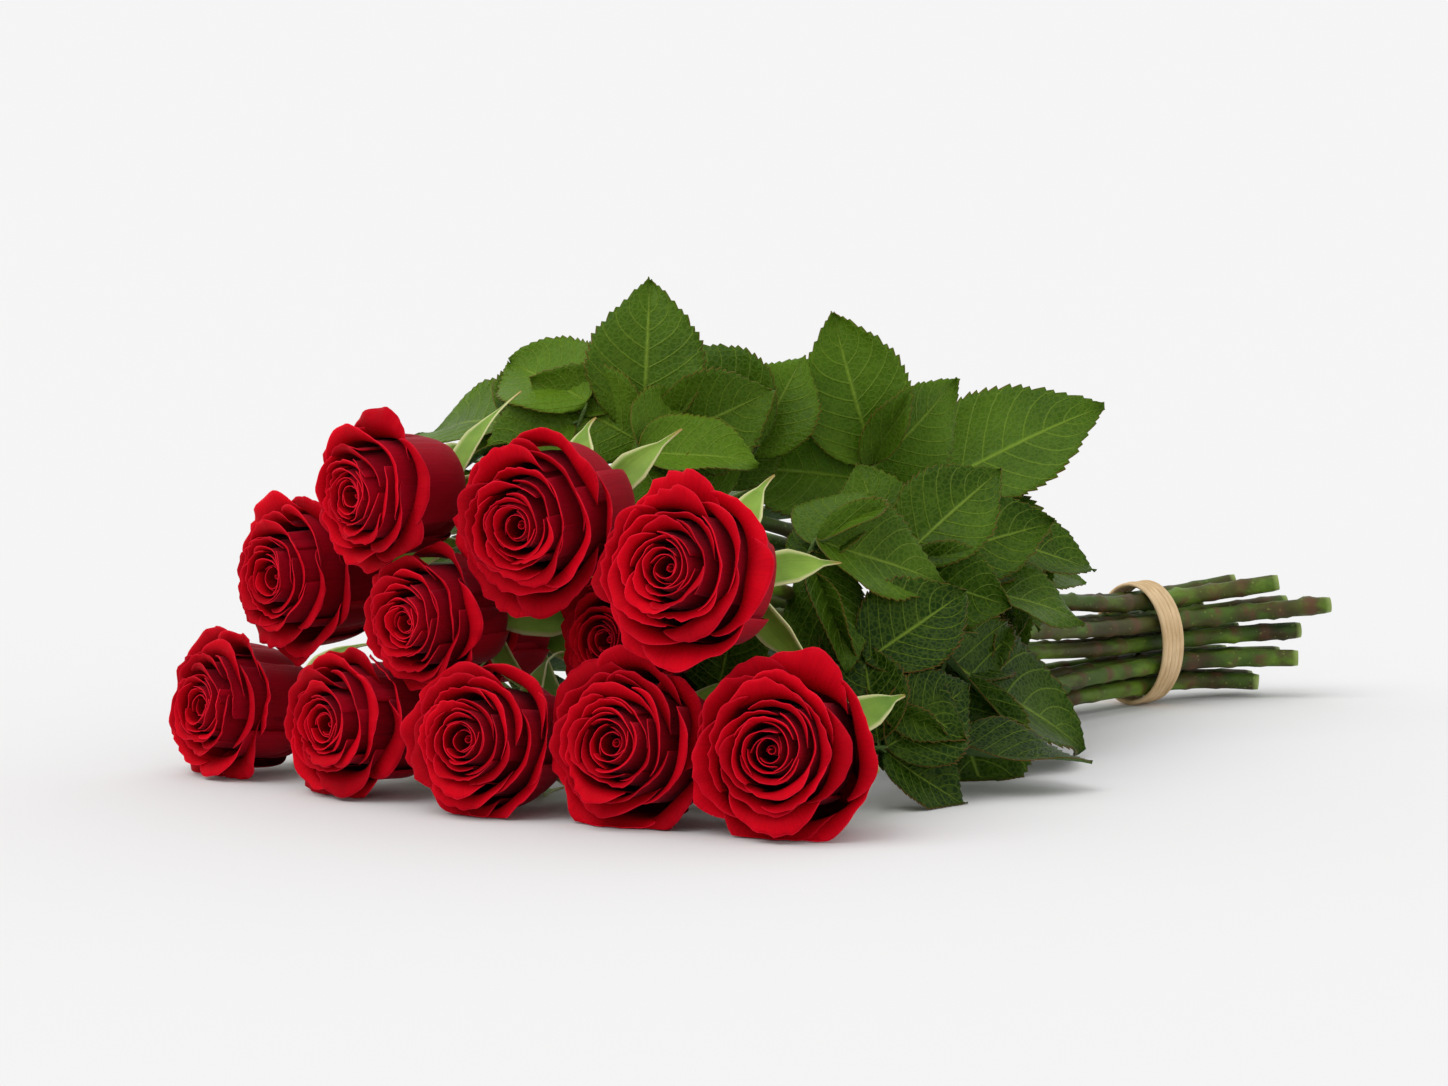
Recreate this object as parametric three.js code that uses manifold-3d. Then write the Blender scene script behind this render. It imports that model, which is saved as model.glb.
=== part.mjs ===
// A bunch of a dozen long-stemmed red roses, lying on its side and held by one tie band.
// Millimetres, +Z up. The bunch lies along X: blooms towards -X, cut stem ends towards +X.
// Every rose has a bloom, a calyx and a stem; the compound leaves grow from the stems.

import Module from 'manifold-3d';
import * as THREE from 'three';
import { mergeVertices } from 'three/addons/utils/BufferGeometryUtils.js';

const wasm = await Module();
wasm.setup();

// ---- driving sizes -------------------------------------------------------------------------

const GAP = 0.3; // free space kept between any two neighbouring pieces

const STEM_END_DIAMETER = 8.8;
const STEM_BAND_DIAMETER = 8.2;
const STEM_NECK_DIAMETER = 5.6;
const STEM_SIDES = 8;
const STEM_CLEARANCE = 2.0; // between stems one above the other inside the band
const STEM_SPREAD = 0.8; // added to that clearance between stems side by side
const STEM_STEPS = 14; // straight lengths that follow a stem's curve

const BAND_WIDTH = 17; // along the stems
const BAND_THICKNESS = 2.4;
const BAND_CLEARANCE = 1.1; // between the band and the outermost stems
const BAND_ASPECT = 0.69; // width of the band's oval over its height

const CUP_SHARE = 0.445; // radius of the closed petal cup over the bloom's full width
const BLOOM_DEPTH = 0.82; // bloom's depth over its full width
const FACE_DEPTH = 0.93; // how far up that depth the middle of the bloom lies
const BLOOM_SIDES = 14;

const HIP_DIAMETER = 11;
const HIP_LENGTH = 12;
const HIP_SIDES = 8;
const SEPALS = 5;
const SEPAL_LENGTH = 38;
const SEPAL_WIDTH = 10;
const SEPAL_THICKNESS = 1.2;
const SEPAL_FOLD = 0.15; // how far the edges rise over the middle, over the half width
const SEPAL_SPREAD = 118; // degrees between the sepals and the way the bloom faces
const SEPAL_CURL = 30; // degrees that a sepal bends back along its length
const SEPAL_STATIONS = [0, 0.3, 0.7, 1]; // shares of the length where its outline is drawn

const RACHIS_DIAMETER = 2.4; // the stalk that carries the leaflets
const LEAFLET_THICKNESS = 1.3;
const LEAFLET_WIDTH = 0.74; // leaflet's width over its length
const LEAFLET_FOLD = 0.16; // how far the edges rise over the midrib, over the half width
const SIDE_LEAFLET_SIZE = 0.86; // side leaflet's length over the end leaflet's
const SIDE_LEAFLET_ANGLE = 64; // degrees between a side leaflet and the end leaflet
const PAIR_PLACES = [0.78, 0.32]; // where the pairs of side leaflets sit along the rachis
const LEAFLET_ROOT = 0.5; // how far a leaflet's foot lies inside its stalk
const LEAFLET_STATIONS = [0, 0.12, 0.34, 0.6, 0.84, 1];

const HANDLE_NECK = 110; // how far a stem keeps the way its bloom faces
const HANDLE_BAND = 150; // how far a stem keeps the band's direction on the bloom side
const HANDLE_TAIL = 45; // and on the cut side
const TAIL_SWING = -0.37; // sideways slope of the stems past the band
const TAIL_RISE = 0.03; // upward slope of the stems past the band
const TAIL_FAN_ACROSS = 0.011; // how much that slope changes for each mm across the bundle
const TAIL_FAN_UP = 0.003; // and for each mm up it

// ---- the dozen roses -----------------------------------------------------------------------
// face: the middle of the bloom (no height given: its cup lies on the surface), across: the
// bloom's full width, heading: degrees from -X towards -Y, tilt: degrees upwards,
// slot: [row from the bottom, place in the row] inside the band, tail: stem past the band.

const ROSES = [
  { face: [-462, 149], across: 66, heading: -4, tilt: 7, slot: [1, 2], tail: 66 },
  { face: [-464, 69.5], across: 66, heading: 1, tilt: 5, slot: [0, 1], tail: 72 },
  { face: [-461, -7.5], across: 66, heading: 13, tilt: 8, slot: [1, 1], tail: 78 },
  { face: [-442, -69], across: 71, heading: 14, tilt: 8, slot: [0, 0], tail: 58 },
  { face: [-424, -133], across: 74, heading: 23, tilt: 8, slot: [1, 0], tail: 70 },
  { face: [-449, 119, 86], across: 69, heading: -3, tilt: 1, slot: [3, 2], tail: 52 },
  { face: [-453, 34, 73.5], across: 61, heading: 3, tilt: 0, slot: [3, 1], tail: 82 },
  { face: [-435, -91, 102], across: 73, heading: 15, tilt: 10, slot: [3, 0], tail: 86 },
  { face: [-460, 57, 123], across: 65, heading: -3, tilt: 0, slot: [4, 1], tail: 62 },
  { face: [-445, -21, 114], across: 73, heading: 12, tilt: -3, slot: [4, 0], tail: 68 },
  { face: [-405, -30, 67], across: 60, heading: 5, tilt: 2, slot: [2, 0], tail: 80 },
  { face: [-385, 76, 60], across: 56, heading: -5, tilt: 2, slot: [2, 1], tail: 64 },
];

const SLOT_ROWS = [2, 3, 2, 3, 2]; // stems in each row inside the band, from the bottom

// ---- the leaves ----------------------------------------------------------------------------
// rose: the stem it grows from, at: place along that stem (0 at the hip, 1 at the band),
// reach: the way its rachis runs, stalk: the rachis's length, aim: the way its end leaflet
// points, face: the way its upper side looks, size: the end leaflet's length, leaflets: how
// many, curl: degrees that each leaflet bends away from its upper side.

const LEAVES = [
  {
    rose: 10, at: 0.12, reach: [0.02, 0.52, 0.86], stalk: 30, aim: [0.08, -0.02, 1],
    face: [-0.75, -0.65, 0.1], size: 64, leaflets: 3, curl: 12,
  },
  {
    rose: 9, at: 0.11, reach: [0.1, -0.41, 0.91], stalk: 38, aim: [0, 0.91, 0.41],
    face: [-0.6, -0.5, 0.6], size: 56, leaflets: 5, curl: 18,
  },
  {
    rose: 10, at: 0.38, reach: [0.26, -0.53, 0.8], stalk: 38, aim: [-0.2, 0.25, 0.95],
    face: [-0.75, -0.65, 0.05], size: 66, leaflets: 3, curl: 10,
  },
  {
    rose: 9, at: 0.62, reach: [0.27, -0.04, 0.96], stalk: 40, aim: [0.56, -0.69, 0.45],
    face: [-0.5, -0.5, 0.7], size: 84, leaflets: 3, curl: 12,
  },
  {
    rose: 9, at: 0.3, reach: [0.06, -0.73, 0.68], stalk: 46, aim: [-0.33, 0.48, 0.81],
    face: [-0.7, -0.62, 0.2], size: 58, leaflets: 5, curl: 16,
  },
  {
    rose: 8, at: 0.56, reach: [0.15, 0.05, 0.99], stalk: 36, aim: [0.7, -0.71, -0.09],
    face: [-0.3, -0.35, 0.85], size: 56, leaflets: 5, curl: 20,
  },
  {
    rose: 5, at: 0.35, reach: [0.14, -0.35, 0.93], stalk: 30, aim: [0.82, -0.33, -0.46],
    face: [-0.5, -0.45, 0.7], size: 82, leaflets: 3, curl: 8,
  },
  {
    rose: 5, at: 0.23, reach: [0.32, -0.81, -0.06], stalk: 16, aim: [0.49, -0.87, -0.05],
    face: [-0.1, -0.2, 1], size: 64, leaflets: 1, curl: 4,
  },
  {
    rose: 9, at: 0.08, reach: [0.22, 0.55, 0.81], stalk: 28, aim: [0, 0.99, 0.15],
    face: [-0.5, -0.3, 0.8], size: 60, leaflets: 5, curl: 16,
  },
  {
    rose: 6, at: 0.2, reach: [0.1, 0.6, 0.75], stalk: 54, aim: [0.3, 0.9, 0.2],
    face: [-0.2, -0.2, 0.9], size: 66, leaflets: 5, curl: 24,
  },
  {
    rose: 6, at: 0.46, reach: [0.2, 0.5, 0.8], stalk: 48, aim: [0.6, 0.75, 0.1],
    face: [0, 0.1, 1], size: 62, leaflets: 5, curl: 18,
  },
  {
    rose: 1, at: 0.25, reach: [0.1, 0.9, 0.35], stalk: 46, aim: [0.4, 0.9, -0.12],
    face: [0, 0.1, 1], size: 62, leaflets: 5, curl: 10,
  },
  {
    rose: 1, at: 0.5, reach: [0.2, 0.8, 0.5], stalk: 42, aim: [0.7, 0.7, -0.1],
    face: [0, 0.2, 1], size: 60, leaflets: 5, curl: 12,
  },
  {
    rose: 8, at: 0.3, reach: [0.19, -0.5, 0.75], stalk: 24, aim: [0.5, -0.42, 0.6],
    face: [-0.7, -0.5, 0.4], size: 56, leaflets: 5, curl: 16,
  },
  {
    rose: 5, at: 0.1, reach: [0.14, -0.1, 0.98], stalk: 32, aim: [0.7, -0.36, 0.53],
    face: [-0.6, -0.6, 0.5], size: 52, leaflets: 5, curl: 14,
  },
  {
    rose: 8, at: 0.47, reach: [0.05, -0.3, 0.85], stalk: 16, aim: [0.65, -0.75, -0.14],
    face: [-0.4, -0.4, 0.8], size: 62, leaflets: 5, curl: 16,
  },
  {
    rose: 5, at: 0.08, reach: [0.22, -0.72, 0.1], stalk: 15, aim: [0.86, -0.2, 0.4],
    face: [-0.4, -0.8, 0.4], size: 48, leaflets: 3, curl: 8,
  },
  {
    rose: 8, at: 0.11, reach: [0.16, -0.4, 0.9], stalk: 22, aim: [0.8, -0.5, -0.3],
    face: [-0.6, -0.5, 0.6], size: 58, leaflets: 5, curl: 16,
  },
  {
    rose: 9, at: 0.7, reach: [0.09, -0.72, 0.68], stalk: 18, aim: [0.87, -0.47, -0.18],
    face: [-0.2, -0.4, 0.9], size: 48, leaflets: 3, curl: 14,
  },
  {
    rose: 11, at: 0.42, reach: [0.1, -0.3, 0.9], stalk: 34, aim: [0.6, -0.6, 0.3],
    face: [-0.6, -0.5, 0.6], size: 60, leaflets: 5, curl: 18,
  },
  {
    rose: 4, at: 0.05, reach: [-0.1, -0.1, 1], stalk: 16, aim: [-0.1, -0.35, 0.93],
    face: [-0.8, -0.6, 0.1], size: 44, leaflets: 5, curl: 8,
  },
  {
    rose: 4, at: 0.5, reach: [0.11, -0.51, 0.85], stalk: 36, aim: [0.86, -0.43, -0.28],
    face: [-0.3, -0.4, 0.9], size: 54, leaflets: 5, curl: 12,
  },
  {
    rose: 10, at: 0.07, reach: [-0.03, 0.09, 1], stalk: 18, aim: [0.65, -0.76, 0],
    face: [-0.5, -0.5, 0.7], size: 48, leaflets: 5, curl: 14,
  },
];

// ---- solids --------------------------------------------------------------------------------

const vec = (x, y, z) => new THREE.Vector3(x, y, z);
const radians = THREE.MathUtils.degToRad;
const along = (start, direction, distance) => start.clone().addScaledVector(direction, distance);

function solidOf(geometry) {
  const bare = geometry.clone();
  bare.deleteAttribute('normal');
  bare.deleteAttribute('uv');
  const merged = mergeVertices(bare, 1e-4);
  const vertProperties = new Float32Array(merged.attributes.position.array);
  const triVerts = new Uint32Array(merged.index.array);
  return new wasm.Manifold(new wasm.Mesh({ numProp: 3, vertProperties, triVerts }));
}

function geometryOf(solid) {
  const mesh = solid.getMesh();
  const geometry = new THREE.BufferGeometry();
  geometry.setAttribute('position', new THREE.BufferAttribute(new Float32Array(mesh.vertProperties), 3));
  geometry.setIndex([...mesh.triVerts]);
  geometry.computeVertexNormals();
  return geometry;
}

// A closed body through rings of points; each ring runs anticlockwise round the way ahead.
function loft(rings) {
  const sides = rings[0].length;
  const positions = rings.flat().flatMap((point) => point.toArray());
  const index = [];
  for (let i = 0; i + 1 < rings.length; i += 1) {
    for (let j = 0; j < sides; j += 1) {
      const here = i * sides;
      const next = here + sides;
      const k = (j + 1) % sides;
      index.push(here + j, here + k, next + k);
      index.push(here + j, next + k, next + j);
    }
  }
  const last = (rings.length - 1) * sides;
  for (let j = 1; j + 1 < sides; j += 1) {
    index.push(0, j + 1, j);
    index.push(last, last + j, last + j + 1);
  }
  const geometry = new THREE.BufferGeometry();
  geometry.setAttribute('position', new THREE.Float32BufferAttribute(positions, 3));
  geometry.setIndex(index);
  return geometry;
}

// A round bar along a curve whose radius changes from one end to the other.
function taperedBar(curve, steps, sides, radiusAt) {
  const frames = curve.computeFrenetFrames(steps, false);
  const rings = [];
  for (let i = 0; i <= steps; i += 1) {
    const centre = curve.getPointAt(i / steps);
    const ring = [];
    for (let j = 0; j < sides; j += 1) {
      const turn = (2 * Math.PI * j) / sides;
      const out = frames.normals[i].clone().multiplyScalar(Math.cos(turn));
      out.addScaledVector(frames.binormals[i], Math.sin(turn));
      ring.push(along(centre, out, radiusAt(i / steps)));
    }
    rings.push(ring);
  }
  return loft(rings);
}

// A thin leaf-shaped plate with a raised edge on each side of its midrib, bending back by curl.
function blade({ base, aim, face, length, width, thickness, fold, curl, stations, grow = 0 }) {
  const normal = face.clone().addScaledVector(aim, -face.dot(aim)).normalize();
  const side = normal.clone().cross(aim).normalize();
  const bend = Math.max(radians(curl), 0.01);
  const half = thickness / 2 + grow;
  const rings = stations.map((s) => {
    const angle = bend * s;
    const centre = along(base, aim, (length * Math.sin(angle)) / bend);
    centre.addScaledVector(normal, (length * (Math.cos(angle) - 1)) / bend);
    const up = normal.clone().multiplyScalar(Math.cos(angle)).addScaledVector(aim, Math.sin(angle));
    const reach = (width / 2) * Math.max(Math.sin(Math.PI * s ** 0.74) ** 0.85, 0.08) + 3 * grow;
    const rise = fold * reach;
    return [
      along(along(centre, side, reach), up, rise),
      along(centre, up, half),
      along(along(centre, side, -reach), up, rise),
      along(centre, up, -half),
    ];
  });
  return loft(rings);
}

// Takes the room round the given neighbours out of a solid and keeps the piece that is left.
function clearOf(solid, rooms) {
  const box = solid.boundingBox();
  let left = solid;
  for (const room of rooms) {
    const other = room.boundingBox();
    const apart = [0, 1, 2].some((i) => box.max[i] < other.min[i] || other.max[i] < box.min[i]);
    if (!apart) left = left.subtract(room);
  }
  const bodies = left.decompose();
  return bodies.reduce((most, body) => (body.volume() > most.volume() ? body : most));
}

// ---- roses ---------------------------------------------------------------------------------

const FLOOR = solidOf(new THREE.BoxGeometry(2000, 2000, 100).translate(0, 0, -50));

const slotPitchAcross = STEM_BAND_DIAMETER + STEM_CLEARANCE + STEM_SPREAD;
const slotPitchUp = STEM_BAND_DIAMETER + STEM_CLEARANCE;

// A slot's place inside the band, from the middle of the bundle.
function slotOffset([row, place]) {
  return {
    across: (place - (SLOT_ROWS[row] - 1) / 2) * slotPitchAcross,
    up: (row - (SLOT_ROWS.length - 1) / 2) * slotPitchUp,
  };
}

// Half the height of the band's inside, just large enough for every stem.
function heightToHold({ slot }) {
  const { across, up } = slotOffset(slot);
  const room = STEM_BAND_DIAMETER / 2 + BAND_CLEARANCE;
  let height = 0;
  for (let turn = 0; turn < 2 * Math.PI; turn += 0.1) {
    const y = across + room * Math.cos(turn);
    const z = up + room * Math.sin(turn);
    height = Math.max(height, Math.hypot(y / BAND_ASPECT, z));
  }
  return height;
}

const bandInnerHalfHeight = Math.max(...ROSES.map(heightToHold));
const bandCentreHeight = bandInnerHalfHeight + BAND_THICKNESS;

function measureRose({ face, across, heading, tilt, slot, tail }) {
  const turn = radians(heading);
  const lift = radians(tilt);
  const axis = vec(
    -Math.cos(turn) * Math.cos(lift),
    -Math.sin(turn) * Math.cos(lift),
    Math.sin(lift),
  );
  const depth = BLOOM_DEPTH * across;
  const cup = CUP_SHARE * across;
  const lowest = cup * Math.cos(lift) + 0.3 * depth * Math.sin(lift);
  const middle = vec(face[0], face[1], face[2] ?? lowest);
  const base = along(middle, axis, -FACE_DEPTH * depth);
  const neck = along(base, axis, -HIP_LENGTH - 2 * GAP);
  const place = slotOffset(slot);
  const inBand = vec(0, place.across, bandCentreHeight + place.up);
  const end = along(
    inBand,
    vec(
      1,
      TAIL_SWING + TAIL_FAN_ACROSS * place.across,
      TAIL_RISE + TAIL_FAN_UP * place.up,
    ),
    tail,
  );
  const main = new THREE.CubicBezierCurve3(
    neck,
    along(neck, axis, -HANDLE_NECK),
    along(inBand, vec(1, 0, 0), -HANDLE_BAND),
    inBand,
  );
  const tailCurve = new THREE.QuadraticBezierCurve3(
    inBand,
    along(inBand, vec(1, 0, 0), HANDLE_TAIL),
    end,
  );
  const path = new THREE.CurvePath();
  path.add(main);
  path.add(tailCurve);
  const bandShare = main.getLength() / (main.getLength() + tailCurve.getLength());
  return { axis, depth, cup, base, main, path, bandShare };
}

const roses = ROSES.map(measureRose);

function stemRadius(rose, share, grow) {
  const { bandShare } = rose;
  const diameter =
    share < bandShare
      ? THREE.MathUtils.lerp(STEM_NECK_DIAMETER, STEM_BAND_DIAMETER, share / bandShare)
      : THREE.MathUtils.lerp(
          STEM_BAND_DIAMETER,
          STEM_END_DIAMETER,
          (share - bandShare) / (1 - bandShare),
        );
  return diameter / 2 + grow;
}

function stemSolid(rose, grow = 0) {
  return solidOf(taperedBar(rose.path, STEM_STEPS, STEM_SIDES, (t) => stemRadius(rose, t, grow)));
}

// The petal cup: a plain closed outer shape that the petals fill.
function bloomSolid(rose, grow = 0) {
  const profile = [
    [0, 0],
    [0.26, 0.01],
    [0.66, 0.16],
    [0.93, 0.4],
    [1, 0.66],
    [0.88, 0.9],
    [0.5, 0.99],
    [0, 0.93],
  ];
  const points = profile.map(
    ([r, h], i) =>
      new THREE.Vector2(
        r > 0 ? r * rose.cup + grow : 0,
        h * rose.depth + grow * (i < 4 ? -1 : 1),
      ),
  );
  const geometry = new THREE.LatheGeometry(points, BLOOM_SIDES);
  const turn = new THREE.Quaternion().setFromUnitVectors(vec(0, 1, 0), rose.axis);
  geometry.applyQuaternion(turn);
  geometry.translate(rose.base.x, rose.base.y, rose.base.z);
  return solidOf(geometry);
}

// The hip under the bloom with its five sepals, spread out and back.
function calyxSolid(rose, number, grow = 0) {
  const top = along(rose.base, rose.axis, -GAP);
  const radius = HIP_DIAMETER / 2;
  const neck = STEM_NECK_DIAMETER / 2;
  const points = [
    [0, grow],
    [0.8 * radius + grow, grow],
    [radius + grow, -0.35 * HIP_LENGTH],
    [neck + grow, -HIP_LENGTH - grow],
    [0, -HIP_LENGTH - grow],
  ].map(([r, h]) => new THREE.Vector2(r, h));
  const hip = new THREE.LatheGeometry(points.reverse(), HIP_SIDES);
  const turn = new THREE.Quaternion().setFromUnitVectors(vec(0, 1, 0), rose.axis);
  hip.applyQuaternion(turn);
  hip.translate(top.x, top.y, top.z);
  let calyx = solidOf(hip);
  const root = along(top, rose.axis, -0.22 * HIP_LENGTH);
  for (let i = 0; i < SEPALS; i += 1) {
    const round = radians((360 / SEPALS) * i + 31 * number);
    const outwards = vec(Math.cos(round), 0, Math.sin(round)).applyQuaternion(turn);
    const spread = radians(SEPAL_SPREAD);
    const aim = outwards.clone().multiplyScalar(Math.sin(spread));
    aim.addScaledVector(rose.axis, Math.cos(spread));
    const sepal = blade({
      base: along(root, outwards, 0.5 * radius),
      aim,
      face: rose.axis,
      length: SEPAL_LENGTH,
      width: SEPAL_WIDTH,
      thickness: SEPAL_THICKNESS,
      fold: SEPAL_FOLD,
      curl: SEPAL_CURL,
      stations: SEPAL_STATIONS,
      grow,
    });
    calyx = calyx.add(solidOf(sepal));
  }
  return calyx;
}

// ---- leaves --------------------------------------------------------------------------------

// One compound leaf: a rachis, an end leaflet and pairs of side leaflets, grown as one piece.
function leafSolid({ rose, at, reach, stalk, aim, face, size, leaflets, curl }, grow = 0) {
  const { main, bandShare } = roses[rose - 1];
  const way = vec(...reach).normalize();
  const ahead = vec(...aim).normalize();
  const upper = vec(...face).normalize();
  const upright = upper.clone().addScaledVector(ahead, -upper.dot(ahead)).normalize();
  const stemSurface = stemRadius(roses[rose - 1], at * bandShare, 0);
  const start = along(main.getPointAt(at), way, stemSurface + 2 * GAP);
  const end = along(start, way, stalk);
  const rachis = new THREE.LineCurve3(along(start, way, -grow), along(end, way, 1));
  const plate = {
    thickness: LEAFLET_THICKNESS,
    fold: LEAFLET_FOLD,
    stations: LEAFLET_STATIONS,
    curl,
    grow,
  };
  let leaf = solidOf(taperedBar(rachis, 1, 6, () => RACHIS_DIAMETER / 2 + grow));
  const endLeaflet = blade({
    base: along(end, ahead, -LEAFLET_ROOT),
    aim: ahead,
    face: upper,
    length: size,
    width: size * LEAFLET_WIDTH,
    ...plate,
  });
  leaf = leaf.add(solidOf(endLeaflet));
  for (let pair = 0; pair < (leaflets - 1) / 2; pair += 1) {
    const foot = along(start, way, stalk * PAIR_PLACES[pair]);
    const length = size * SIDE_LEAFLET_SIZE ** (pair + 1);
    for (const hand of [-1, 1]) {
      const turned = ahead.clone().applyAxisAngle(upright, radians(hand * SIDE_LEAFLET_ANGLE));
      const leaflet = blade({
        base: along(foot, turned, LEAFLET_ROOT),
        aim: turned,
        face: upper,
        length,
        width: length * LEAFLET_WIDTH,
        ...plate,
      });
      leaf = leaf.add(solidOf(leaflet));
    }
  }
  return leaf;
}

// ---- tie band ------------------------------------------------------------------------------

// The oval ring round the stems, lying on the surface.
function bandGeometry() {
  const inner = bandInnerHalfHeight;
  const outer = inner + BAND_THICKNESS;
  const outline = new THREE.Shape();
  outline.absellipse(0, 0, outer, inner * BAND_ASPECT + BAND_THICKNESS, 0, 2 * Math.PI);
  const opening = new THREE.Path();
  opening.absellipse(0, 0, inner, inner * BAND_ASPECT, 0, 2 * Math.PI);
  outline.holes.push(opening);
  const geometry = new THREE.ExtrudeGeometry(outline, {
    depth: BAND_WIDTH,
    bevelEnabled: false,
    curveSegments: 20,
  });
  geometry.translate(0, 0, -BAND_WIDTH / 2);
  geometry.rotateY(Math.PI / 2);
  geometry.translate(0, 0, bandCentreHeight);
  return geometry;
}

// ---- assembly ------------------------------------------------------------------------------

const petals = { color: 0xa3051a, roughness: 0.75, metalness: 0 };
const greenery = { color: 0x7d9a3c, roughness: 0.6, metalness: 0 };
const bark = { color: 0x4d6b2a, roughness: 0.6, metalness: 0 };
const foliage = { color: 0x2f6a25, roughness: 0.5, metalness: 0 };
const raffia = { color: 0xdcbb92, roughness: 0.8, metalness: 0 };

const group = new THREE.Group();
const pieces = new THREE.Group();
group.add(pieces);

function addPiece(name, solid, look) {
  const mesh = new THREE.Mesh(geometryOf(solid), new THREE.MeshStandardMaterial(look));
  mesh.name = name;
  pieces.add(mesh);
}

const label = (kind, index) => `${kind}_${String(index + 1).padStart(2, '0')}`;
const rooms = [FLOOR];

const band = solidOf(bandGeometry());
addPiece('tie_band', band, raffia);
rooms.push(band);

roses.forEach((rose, index) => {
  addPiece(label('stem', index), stemSolid(rose), bark);
  rooms.push(stemSolid(rose, GAP));
});

roses.forEach((rose, index) => {
  addPiece(label('bloom', index), clearOf(bloomSolid(rose), rooms), petals);
  rooms.push(bloomSolid(rose, GAP));
});

roses.forEach((rose, index) => {
  addPiece(label('calyx', index), clearOf(calyxSolid(rose, index), rooms), greenery);
  rooms.push(calyxSolid(rose, index, GAP));
});

LEAVES.forEach((leaf, index) => {
  addPiece(label('leaf', index), clearOf(leafSolid(leaf), rooms), foliage);
  rooms.push(leafSolid(leaf, GAP));
});

// The origin is the middle of the footprint, on the surface that the bunch lies on.
const box = new THREE.Box3().setFromObject(pieces);
const middle = box.getCenter(vec(0, 0, 0));
pieces.position.set(-middle.x, -middle.y, -box.min.z);

export default group;
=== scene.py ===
# %% [markdown]
# A bunch of a dozen red roses, lying on its side and tied with a tan band.
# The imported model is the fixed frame: it gives the place and the size of every piece.
# Blender gives each bloom its petals, each leaf its teeth and veins, and each stem its bark.

# %% Load the frame
import math
import random

import bpy
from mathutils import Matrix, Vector


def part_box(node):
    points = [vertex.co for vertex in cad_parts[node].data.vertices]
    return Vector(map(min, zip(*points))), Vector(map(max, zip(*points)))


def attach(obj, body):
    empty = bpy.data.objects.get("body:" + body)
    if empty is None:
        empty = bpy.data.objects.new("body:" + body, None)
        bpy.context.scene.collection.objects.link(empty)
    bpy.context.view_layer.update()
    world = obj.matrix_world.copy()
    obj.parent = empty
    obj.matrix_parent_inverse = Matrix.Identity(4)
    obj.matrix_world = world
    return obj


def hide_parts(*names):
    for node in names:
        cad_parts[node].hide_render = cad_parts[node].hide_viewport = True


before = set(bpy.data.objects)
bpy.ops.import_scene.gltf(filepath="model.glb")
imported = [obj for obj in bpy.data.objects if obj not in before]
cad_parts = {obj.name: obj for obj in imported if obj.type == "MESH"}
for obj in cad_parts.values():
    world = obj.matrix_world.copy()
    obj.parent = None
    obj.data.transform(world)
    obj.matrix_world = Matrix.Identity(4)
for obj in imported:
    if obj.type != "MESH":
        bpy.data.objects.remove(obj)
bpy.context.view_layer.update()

MM = 0.001
PHASE = 6.28  # one full turn, for the random places of waves and rings
FLOOR_SOFT = 0.9  # height in millimetres below which petals and leaves give way to the floor
scene = bpy.context.scene
scene.view_settings.view_transform = "Standard"

# %% [markdown]
# The bunch is laid out from a point on the surface under the tie band, with X along the
# stems towards their cut ends. The band's own box says where that point is in the frame.

# %% Find the layout's origin from the band
band_low, band_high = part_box("tie_band")
band_middle = (band_low + band_high) / 2
ORIGIN = Vector((band_middle.x, band_middle.y, 0))
print("layout origin", [round(x, 4) for x in ORIGIN])


def place_mm(x, y, z):
    """A point of the layout, given in millimetres."""
    return ORIGIN + Vector((x, y, z)) * MM


# %% [markdown]
# Every soft or grown piece here is a thin sheet or a tube. Each one starts as a flat grid
# primitive, and every point of the grid is then carried to its place on the real surface
# by a short rule: u runs across from -1 to 1 and v runs along from 0 to 1. A grid keeps
# even quads and a ready UV map, which the veins and the bark use later.

# %% Helpers that shape a grid primitive
def select_only(*pieces):
    """Selects these pieces and makes the first one active."""
    bpy.ops.object.select_all(action="DESELECT")
    for piece in pieces:
        piece.select_set(True)
    bpy.context.view_layer.objects.active = pieces[0]


def shaped_grid(name, across, along, rule):
    """A grid primitive whose every point is moved by rule(u, v)."""
    bpy.ops.object.select_all(action="DESELECT")
    bpy.ops.mesh.primitive_grid_add(x_subdivisions=across, y_subdivisions=along, size=2)
    piece = bpy.context.object
    piece.name = name
    for vertex in piece.data.vertices:
        vertex.co = rule(vertex.co.x, (vertex.co.y + 1) / 2)
    return piece


def joined(name, parts):
    """Joins the parts into one piece."""
    select_only(*parts)
    if len(parts) > 1:
        bpy.ops.object.join()
    piece = bpy.context.object
    piece.name = name
    piece.data.name = name
    return piece


def closed_up(piece):
    """Merges the seam and the poles and turns every face outwards."""
    select_only(piece)
    bpy.ops.object.mode_set(mode="EDIT")
    bpy.ops.mesh.select_all(action="SELECT")
    bpy.ops.mesh.remove_doubles(threshold=0.02 * MM)
    bpy.ops.mesh.normals_make_consistent(inside=False)
    bpy.ops.object.mode_set(mode="OBJECT")
    return piece


def apply_all(piece):
    """Applies the piece's modifiers in order and shades it smooth."""
    select_only(piece)
    for name in [m.name for m in piece.modifiers]:
        bpy.ops.object.modifier_apply(modifier=name)
    bpy.ops.object.shade_smooth()
    return piece


def thickened(piece, thickness, offset):
    """Gives a sheet its thickness in millimetres; offset says to which side it grows."""
    wall = piece.modifiers.new("wall", "SOLIDIFY")
    wall.thickness = thickness * MM
    wall.offset = offset
    return wall


def above_floor(z):
    """Lets a height near the surface settle softly, and never reach it."""
    if z < FLOOR_SOFT:
        z = FLOOR_SOFT - 0.5 * (1 - math.exp(-(FLOOR_SOFT - z) / 3))
    return z


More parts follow.
